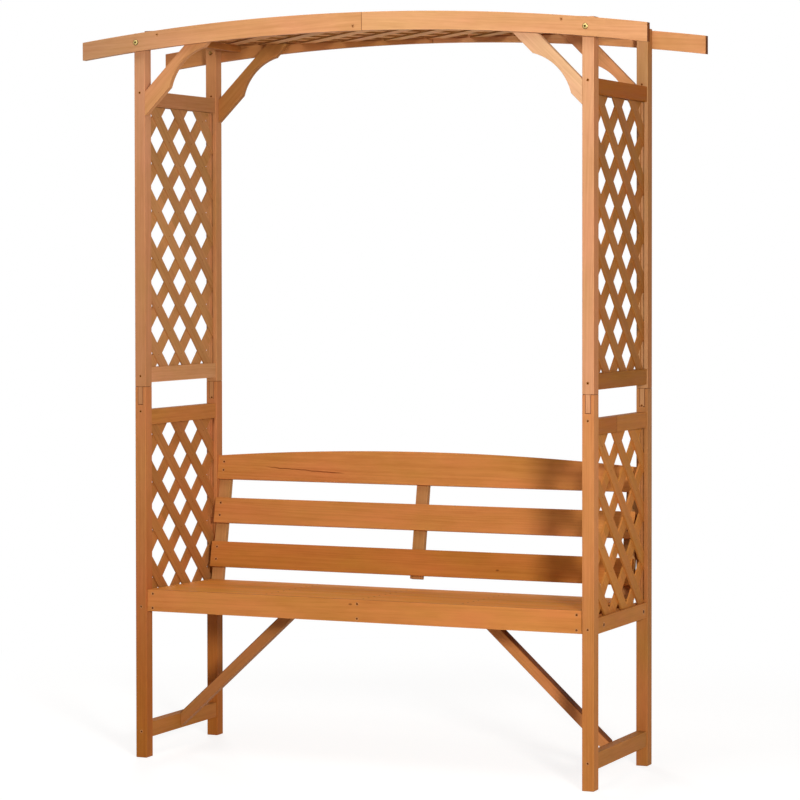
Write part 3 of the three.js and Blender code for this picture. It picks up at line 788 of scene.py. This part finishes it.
def dress_lattice(node, axes, zero, diamond, crossing, painted_shade_sides=None):
    """axes: the panel's own two edges and its thickness; zero: the middle of its lower layer."""
    chance = random.Random(len(node) * 7 + int(diamond * 1e4))
    finish, tree = blank_material(f"timber_{node}")
    place = split(tree, in_board(tree, axes, axes @ Vector(zero)))
    upper = calc(tree, "GREATER_THAN", place["Z"], LATH_THICKNESS - LATH_PRESS / 2)
    along, across = across_laths(tree, place, upper)
    pitch = diamond * math.sqrt(0.5)
    counted = weighed(tree, -crossing / diamond, (across, 1 / pitch))
    lath = calc(tree, "ROUND", counted)
    middle = calc(tree, "MULTIPLY", calc(tree, "SUBTRACT", counted, lath), pitch)
    seed = weighed(tree, 30.0, (lath, 1.37), (upper, 7.7))
    own_depth = weighed(tree, place["Z"], (upper, LATH_PRESS - LATH_THICKNESS))
    own_depth = calc(tree, "SUBTRACT", own_depth, LATH_THICKNESS / 2)
    half = (0, LATH_WIDTH / 2, LATH_THICKNESS / 2)
    colour = linear(*tone_of(node, "lattice"))
    if painted_shade_sides:
        # painted shade on the laths' narrow sides
        sides = soft_step(tree, facing(tree, axes[2]), 0.3, 0.8, 1.0, 0.0)
        colour = blend_colour(tree, "MIX", sides, colour, linear(*painted_shade_sides))
    inputs = {
        "Board": vector(tree, along, middle, own_depth),
        "Edge": arris_of_box(tree, {"Y": middle, "Z": own_depth}, half),
        "Seed": seed,
        "Joint": FAR_AWAY,
        "Figure": LATTICE_FIGURE,
        "Tone": colour,
    }
    finish_timber(tree, inputs, chance)
    wear(node, finish)


print("lattice panels", round(PANEL_DEPTH / MM, 1), "mm thick")

# %% [markdown]
# There are two panels on each side and the roof's. A side panel is housed in the rails above and
# below it, and its first crossing below the upper rail fixes where all the others are. The pins
# need the same places again, so they are kept in a table.

# %% Dress the lattices
HOUSED, RAIL_HEIGHT = 6.7 * MM, 41 * MM
PANELS = {
    "lower": (398 * MM + RAIL_HEIGHT - HOUSED, 907 * MM + HOUSED, 131 * MM, 33 * MM),
    "upper": (1022 * MM + RAIL_HEIGHT - HOUSED, 1774 * MM + HOUSED, 130 * MM, 28 * MM),
}
ROOF_DIAMOND, ROOF_SIDES_PAINTED_SHADE = 130 * MM, (142, 90, 44)

upright = Matrix((BACK, UP, RIGHT))
flat = Matrix((BACK, (-1, 0, 0), UP))
lattices = {}
for level, (low, high, diamond, first) in PANELS.items():
    crossing = (high - low) / 2 - HOUSED - first
    for side_word, side in SIDES:
        zero = (side * POST_X - PANEL_DEPTH / 2, 0, (low + high) / 2)
        lattices[f"{level}_lattice_{side_word}"] = (upright, zero, diamond, crossing)
roof_zero = (0, 0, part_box("roof_lattice")[0].z)
lattices["roof_lattice"] = (flat, roof_zero, ROOF_DIAMOND, 0.0)
for node, layout in lattices.items():
    dress_lattice(node, *layout, ROOF_SIDES_PAINTED_SHADE if node == "roof_lattice" else None)
print(len(lattices), "lattices dressed")

# %% [markdown]
# Sawn and planed boards never have knife-sharp arrises: they are eased with sandpaper, and the line
# of light along them is what makes a board look solid. The boards' meshes must stay as they are, so
# the easing is a Bevel modifier, after a Weld modifier that joins their loose triangles. The thin
# laths are eased less, and the bolts have their own shape.

# %% Ease the arrises
LATH_EASING, BOARD_EASING, WELD_GAP = 0.5 * MM, 1.3 * MM, 0.01 * MM
for node, board in boards.items():
    if "bolt" in node:
        continue
    weld = board.modifiers.new("weld", "WELD")
    weld.merge_threshold = WELD_GAP
    ease = board.modifiers.new("eased_arrises", "BEVEL")
    ease.width = LATH_EASING if "lattice" in node else BOARD_EASING
    ease.segments = 2
    ease.limit_method = "ANGLE"
    ease.angle_limit = math.radians(40)
print("arrises eased on", sum(1 for board in boards.values() if board.modifiers), "boards")

# %% [markdown]
# The bolts are brass with a dulled skin: bright where they are rubbed, browner in patches, and
# darkened with painted shade in the socket and under the rim. Screws are countersunk steel that has
# browned in its hole. Rust mirrors very little, so it is hardly metallic to the shader.

# %% Metal finishes
PAINTED_RECESS_SHADE = (0.03, 0.02, 0.012, 1)
RUST = {"Metallic": 0.15, "Specular IOR Level": 0.08}
BARE = {"Metallic": 1.0, "Specular IOR Level": 0.5}
bolt_z = sum(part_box("beam_bolt_front_left"), Vector()).z / 2


def bolt_painted_shade(tree, place):
    """Painted shade in the bolt's socket and under its rim, from the distance to the bolt's axis.
    """
    spot = split(tree, place)
    off_x = calc(tree, "SUBTRACT", calc(tree, "ABSOLUTE", spot["X"]), POST_X)
    off_z = calc(tree, "SUBTRACT", spot["Z"], bolt_z)
    off = length_of(tree, vector(tree, off_x, 0.0, off_z))
    socket = soft_step(tree, off, 2.6 * MM, 3.1 * MM, 0.94, 0.0)
    rim = soft_step(tree, off, 5.6 * MM, 6.9 * MM, 0.0, 0.85)
    return calc(tree, "MAXIMUM", socket, rim)


def metal(name, bright, dull, rough_low, rough_high, scale, shade_mask=None, rusted=False):
    finish, tree = blank_material(name)
    place = object_place(tree)
    patches = noise(tree, place, (scale, scale, scale), 4.0, 0.6)
    scratches = noise(tree, place, (scale * 9, scale * 2, scale * 9))
    dulled = soft_step(tree, patches, 0.35, 0.7)
    colour = blend_colour(tree, "MIX", dulled, linear(*bright), linear(*dull))
    # painted shade in the hollows, where a mask is given
    if shade_mask:
        colour = blend_colour(tree, "MULTIPLY", shade_mask(tree, place), colour, PAINTED_RECESS_SHADE)
    rough = soft_step(tree, patches, 0.3, 0.7, rough_low, rough_high)
    rough = weighed(tree, rough, (scratches, 0.1))
    end_material(tree, colour, rough, scratches, 0.2, 0.1 * MM, **(RUST if rusted else BARE))
    return finish


brass = metal("dulled_brass", (168, 128, 72), (104, 74, 38), 0.35, 0.55, 260.0)
bolt_brass = metal("bolt_brass", (236, 212, 140), (172, 138, 72), 0.2, 0.42, 260.0, bolt_painted_shade)
screw_steel = metal("browned_steel", (138, 74, 18), (98, 48, 8), 0.5, 0.7, 500.0, rusted=True)
# The slot is a dark bar of painted shadow where a sunken slot would be.
slot_dark = metal("slot_shadow", (66, 30, 5), (40, 17, 3), 0.7, 0.9, 500.0, rusted=True)
for node in boards:
    if node.startswith("beam_bolt"):
        wear(node, bolt_brass)
print("brass and browned steel ready")

# %% [markdown]
# A screw that is driven flush crushes the fibres round its head. They stand up a little, catch the
# light, and are paler than the stain, because the timber under it shows.

# %% Crushed timber
TORN_DARK, TORN_PALE, TORN_SCALE = (150, 90, 42), (218, 158, 104), 700.0

crushed_rim, tree = blank_material("crushed_rim")
torn = noise(tree, object_place(tree), (TORN_SCALE,) * 3, 3.0)
pale_share = soft_step(tree, torn, 0.3, 0.7)
colour = blend_colour(tree, "MIX", pale_share, linear(*TORN_DARK), linear(*TORN_PALE))
end_material(tree, colour, 0.85, torn, 0.6, 0.2 * MM)
screw_finish = [crushed_rim, screw_steel, slot_dark]
print("crushed rim ready")

# %% [markdown]
# One screw head is a low rim of crushed timber with the head inside it and a cross slot. It is
# modelled once as a small round form: a filled circle, inset for the rim and again for the head,
# then the cross as two bars laid in the head. Faces start in the rim's slot, number 0. Screws in
# the beams have a wide torn rim.

# %% Screw heads
RIM_HEIGHT, RIM_DIP = 0.12 * MM, 0.05 * MM
HEAD_EDGE, HEAD_RISE = 0.3 * MM, 0.1 * MM
SLOT_REACH, SLOT_WIDTH, SLOT_HEIGHT = 1.1, 0.75 * MM, 0.12 * MM
HEAD, SLOT = 1, 2


def screw_form(radius, rim, sides=16):
    form = bmesh.new()
    bmesh.ops.create_circle(form, cap_ends=True, segments=sides, radius=(radius + rim) * MM)
    top = next(face for face in form.faces)
    if top.normal.z < 0:
        top.normal_flip()
    base = bmesh.ops.extrude_face_region(form, geom=[top])
    raised = [item for item in base["geom"] if isinstance(item, bmesh.types.BMVert)]
    bmesh.ops.translate(form, verts=raised, vec=(0, 0, RIM_HEIGHT))
    cap = next(item for item in base["geom"] if isinstance(item, bmesh.types.BMFace))
    bmesh.ops.inset_region(form, faces=[cap], thickness=rim * MM, depth=-RIM_DIP)
    bmesh.ops.inset_region(form, faces=[cap], thickness=HEAD_EDGE, depth=HEAD_RISE)
    cap.material_index = HEAD
    for edge in cap.edges:
        for face in edge.link_faces:
            face.material_index = HEAD
    centre = cap.calc_center_median()
    for turn in (0, math.pi / 2):
        size = Matrix.Diagonal((radius * SLOT_REACH * MM, SLOT_WIDTH, SLOT_HEIGHT, 1))
        at = Matrix.Translation(centre) @ Matrix.Rotation(turn, 4, "Z") @ size
        before = set(form.faces)
        bmesh.ops.create_cube(form, size=1, matrix=at)
        for face in set(form.faces) - before:
            face.material_index = SLOT
    bmesh.ops.recalc_face_normals(form, faces=form.faces)
    return form


def mesh_of(form, name):
    mesh = bpy.data.meshes.new(name)
    form.to_mesh(mesh)
    form.free()
    return mesh


screw_head = mesh_of(screw_form(3.0, 1.4), "screw_head")
large_head = mesh_of(screw_form(4.6, 2.8), "large_screw_head")
small_head = mesh_of(screw_form(2.2, 1.0), "small_screw_head")
torn_head = mesh_of(screw_form(2.3, 3.0), "torn_screw_head")
print("a screw head has", len(screw_head.polygons), "faces")

# %% [markdown]
# The screws of one family become one piece. Each copy of the head is turned from straight up to the
# direction that its board faces, and spun by a random amount, because nobody lines up screw slots.

# %% Fasten a family of heads
def turned_to(normal, spin):
    tipped = Vector((0, 0, 1)).rotation_difference(Vector(normal)).to_matrix().to_4x4()
    return tipped @ Matrix.Rotation(spin, 4, "Z")


def fasten(name, places, model, materials):
    """One piece that holds a copy of the model at each place, given with the way it faces."""
    chance = random.Random(len(name) + len(places))
    form = bmesh.new()
    for point, normal in places:
        before = len(form.verts)
        form.from_mesh(model)
        form.verts.ensure_lookup_table()
        at = Matrix.Translation(point) @ turned_to(normal, chance.uniform(0, math.pi))
        bmesh.ops.transform(form, matrix=at, verts=form.verts[before:])
    mesh = mesh_of(form, name)
    for material in materials:
        mesh.materials.append(material)
    piece = bpy.data.objects.new(name, mesh)
    scene.collection.objects.link(piece)
    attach(piece, "root")
    print(name, len(places), "places,", len(mesh.polygons), "faces")
    return piece


print("families of heads ready")

# %% [markdown]
# The screws go where the photograph shows them: through the posts into the ends of the rails, and
# through the beams into the battens. The rear posts repeat the front ones, and have two more in the
# face that looks forward: one in the post joint's tongue and one above the top rail.

# %% Screws of the posts and beams
POST_FACE, POST_DEPTH, BEAM_FACE = 226 * MM, 36 * MM, 246 * MM
POST_SCREW_HEIGHTS, INNER_SCREW_HEIGHTS = (71, 412, 944, 1040, 1809), (965, 1821)
BEAM_SCREWS = ((-582, 1963), (0, 1966), (582, 1964))

post_screws = []
for _, side in SIDES:
    for _, end in ENDS:
        for z in POST_SCREW_HEIGHTS:
            at = (side * (POST_X - 0.5 * MM), end * POST_FACE, z * MM)
            post_screws.append((at, (0, end, 0)))
    for z in INNER_SCREW_HEIGHTS:
        at = (side * (POST_X - 1 * MM), POST_FACE - POST_DEPTH, z * MM)
        post_screws.append((at, (0, -1, 0)))
fasten("post_screws", post_screws, screw_head, screw_finish)

beam_screws = [
    ((x * MM, end * BEAM_FACE, z * MM), (0, end, 0)) for _, end in ENDS for x, z in BEAM_SCREWS
]
fasten("beam_screws", beam_screws, torn_head, screw_finish)

# %% [markdown]
# On the seat, screws go through the apron and the slats into their bearers, two in each crossing.
# The seat and the back have their own planes, so their screws are placed on a flat drawing of the
# board and then turned with it. The back's slats have pairs of screws at their ends only.

# %% Screws of the seat, the back and the side rails
SEAT_CORNER, BACK_FOOT = Vector((0, -219 * MM, 459 * MM)), Vector((0, 146 * MM, 488 * MM))
APRON_SCREWS = [(x, drop) for x in (-614, -2.5, 614) for drop in (-11, -50)]
SLAT_SCREW_SHARES = (0.26, 0.74)
BACK_SCREW_X = 613
BACK_SCREW_ROWS = (21.5, 56.5, 125 + 21.5, 125 + 56.5, 250 + 25.4, 250 + 49.4)
RAIL_SCREWS = [(-145, 417), (165, 417)]
RAIL_FACE = 661 * MM
FORWARD = Vector((0, -1, 0))

seat_turn = Matrix.Rotation(-SEAT_RAKE, 3, "X")
apron_screws = [
    (SEAT_CORNER + seat_turn @ Vector((x * MM, 0, drop * MM)), seat_turn @ FORWARD)
    for x, drop in APRON_SCREWS
]
fasten("apron_screws", apron_screws, screw_head, screw_finish)

bearer_x = [sum(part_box(f"seat_bearer_{word}"), Vector()).x / 2 for word in BEARERS]
seat_screws = []
for number in SEAT_SLATS:
    low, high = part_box(f"seat_slat_{number}")
    for x in bearer_x:
        for share in SLAT_SCREW_SHARES:
            y = low.y + (high.y - low.y) * share
            run = (y - SEAT_CORNER.y) / math.cos(SEAT_RAKE)
            at = SEAT_CORNER + seat_turn @ Vector((x, run, 0))
            seat_screws.append((at, seat_turn @ Vector(UP)))
fasten("seat_screws", seat_screws, small_head, screw_finish)

back_turn = Matrix.Rotation(-BACK_LEAN, 3, "X")
back_screws = [
    (BACK_FOOT + back_turn @ Vector((x * MM, 0, z * MM)), back_turn @ FORWARD)
    for x in (-BACK_SCREW_X, BACK_SCREW_X)
    for z in BACK_SCREW_ROWS
]
fasten("back_screws", back_screws, screw_head, screw_finish)

side_screws = [
    ((side * RAIL_FACE, y * MM, z * MM), (side, 0, 0)) for _, side in SIDES for y, z in RAIL_SCREWS
]
# The side rails' screws show as dark holes: their heads carry the slot's painted shadow too.
fasten("side_rail_screws", side_screws, large_head, [crushed_rim, slot_dark, slot_dark])

# %% [markdown]
# Where two laths cross they are pinned. The pin heads are tiny, so a cone frustum with eight sides
# is enough. They stand on the faces of the upper layer, at every crossing clear of the panel's rim.

# %% Lattice pins
PIN_FOOT, PIN_TOP, PIN_DEPTH, PIN_RISE = 1.5 * MM, 1.0 * MM, 0.4 * MM, 0.1 * MM
RIM_CLEAR, MOST_CROSSINGS = 18 * MM, 24

pin_form = bmesh.new()
bmesh.ops.create_cone(
    pin_form, cap_ends=True, segments=8, radius1=PIN_FOOT, radius2=PIN_TOP, depth=PIN_DEPTH
)
bmesh.ops.translate(pin_form, verts=pin_form.verts, vec=(0, 0, PIN_RISE))
pin_head = mesh_of(pin_form, "pin_head")


def crossings(node, axes, zero, diamond, crossing):
    """Places of the laths' crossings on the face of the upper layer, clear of the rim."""
    corner = axes @ (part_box(node)[1] - Vector(zero))
    reach_u, reach_v = (abs(size) - RIM_CLEAR for size in corner[:2])
    places = []
    for i in range(-MOST_CROSSINGS, MOST_CROSSINGS + 1):
        for j in range(-MOST_CROSSINGS, MOST_CROSSINGS + 1):
            c, d = crossing + i * diamond, crossing + j * diamond
            u, v = (d - c) / 2, (c + d) / 2
            if abs(u) < reach_u and abs(v) < reach_v:
                at = Vector(zero) + axes.transposed() @ Vector((u, v, PANEL_DEPTH))
                places.append((at, axes[2]))
    return places


for node, layout in lattices.items():
    fasten(f"pins_{node}", crossings(node, *layout), pin_head, [screw_steel])

# %% [markdown]
# Each beam bolt ends in a domed cap nut on a washer, on the inner face of its post. The nut is a
# hexagon whose upper edges are bevelled, and the dome on it is a quarter circle spun round the
# bolt's axis. Both are made standing up and then turned to face along the seat's depth.

# %% The cap nut's form
NUT_CORNER = 8.0 * MM / 2 / math.cos(math.pi / 6)
NUT_HEIGHT, NUT_FOOT, NUT_BEVEL = 3.6 * MM, 1.3 * MM, 0.6 * MM
WASHER_RADIUS, WASHER_DEPTH, WASHER_MIDDLE = 5.6 * MM, 1.0 * MM, 0.8 * MM
DOME_RADIUS, DOME_STEPS, DOME_SIDES = 3.6 * MM, 8, 20


def round_bar(form, sides, radius, depth, middle):
    at = Matrix.Translation((0, 0, middle))
    bmesh.ops.create_cone(
        form, cap_ends=True, segments=sides, radius1=radius, radius2=radius, depth=depth, matrix=at
    )


def spin_dome(form, foot):
    arc = []
    for i in range(DOME_STEPS + 1):
        angle = i / DOME_STEPS * math.pi / 2
        x, z = DOME_RADIUS * math.cos(angle), DOME_RADIUS * math.sin(angle)
        arc.append(form.verts.new((x, 0, foot + z)))
    lines = [form.edges.new(pair) for pair in zip(arc, arc[1:])]
    bmesh.ops.spin(
        form, geom=arc + lines, axis=UP, angle=2 * math.pi, steps=DOME_SIDES, use_merge=True
    )


def nut_form():
    form = bmesh.new()
    round_bar(form, 24, WASHER_RADIUS, WASHER_DEPTH, WASHER_MIDDLE)
    round_bar(form, 6, NUT_CORNER, NUT_HEIGHT, NUT_FOOT + NUT_HEIGHT / 2)
    near_top = NUT_FOOT + NUT_HEIGHT - 0.1 * MM
    rim = [e for e in form.edges if all(v.co.z > near_top for v in e.verts)]
    bmesh.ops.bevel(
        form, geom=rim, offset=NUT_BEVEL, affect="EDGES", segments=2, profile=0.5, material=-1
    )
    spin_dome(form, NUT_FOOT + NUT_HEIGHT - NUT_BEVEL)
    bmesh.ops.remove_doubles(form, verts=form.verts, dist=0.001 * MM)
    base = [e for e in form.edges if e.is_boundary]
    bmesh.ops.edgeloop_fill(form, edges=base)
    bmesh.ops.recalc_face_normals(form, faces=form.faces)
    return form


cap_nut = mesh_of(nut_form(), "cap_nut")
print("cap nut has", len(cap_nut.polygons), "faces")

# %% [markdown]
# The nuts go on all four bolts. The small faces of the dome and of the washer's rim are shaded
# smooth, and the nut's larger flats stay flat. A limit on the area tells them apart.

# %% Cap nuts
LARGEST_SMOOTH_FACE = 2e-6
nut_places = [
    ((side * POST_X, end * (POST_FACE - POST_DEPTH), bolt_z), (0, -end, 0))
    for _, side in SIDES
    for _, end in ENDS
]
nuts = fasten("cap_nuts", nut_places, cap_nut, [brass])
for face in nuts.data.polygons:
    face.use_smooth = len(face.vertices) == 3 or face.area < LARGEST_SMOOTH_FACE
